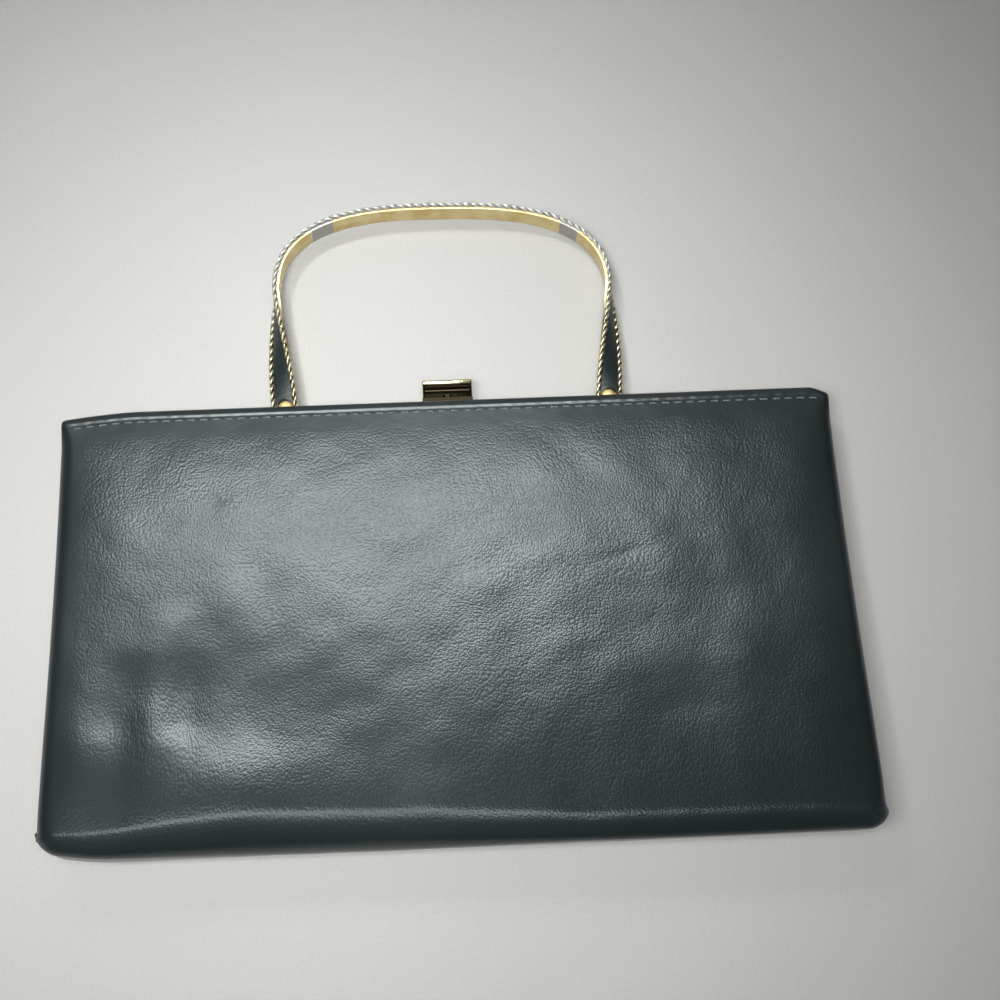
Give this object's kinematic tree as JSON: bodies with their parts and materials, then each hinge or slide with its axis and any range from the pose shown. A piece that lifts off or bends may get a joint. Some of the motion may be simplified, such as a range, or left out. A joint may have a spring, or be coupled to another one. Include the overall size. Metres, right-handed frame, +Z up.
{
  "type": "evening clutch",
  "caption": "Slim leather frame clutch lying on its back, with folded ends, a stitched top edge, a gold lever clasp and a rigid gold-edged handle with a leather inlay.",
  "frame": {"origin": "on the table, under the middle of the bag's outline with its handle", "axes": "+X across the bag to the right of its front, +Y up the bag towards the handle, +Z up from the back panel that it lies on to the front"},
  "size_m": [0.2686, 0.2336, 0.0338],
  "materials": {
    "body_leather": "slate blue-grey, fine pebble grain, soft sheen",
    "gusset_leather": "slate blue-grey, fine pebble grain, folded",
    "inlay_leather": "slate blue-grey, smooth",
    "gold_metal": "polished gold tone, worn bare in places",
    "frame_metal": "plain gold tone"
  },
  "bodies": {
    "bag": {"body_wrap": "body_leather", "gusset_left": "gusset_leather", "gusset_right": "gusset_leather", "frame_front": "frame_metal", "frame_back": "frame_metal", "frame_pin_left": "frame_metal", "frame_pin_right": "frame_metal", "handle_strap": "gold_metal", "handle_inlay": "inlay_leather", "rivet_left": "gold_metal", "rivet_right": "gold_metal", "clasp_pin": "frame_metal"},
    "clasp": {"clasp_lever": "gold_metal"}
  },
  "joints": [
    {"name": "clasp_turn", "type": "hinge", "parent": "bag", "child": "clasp", "pos_m": [0, 0.03672, 0.0102], "axis": [-1, 0, 0], "range_deg": [0, 35], "stiffness_Nm_per_rad": 0.02}
  ]
}
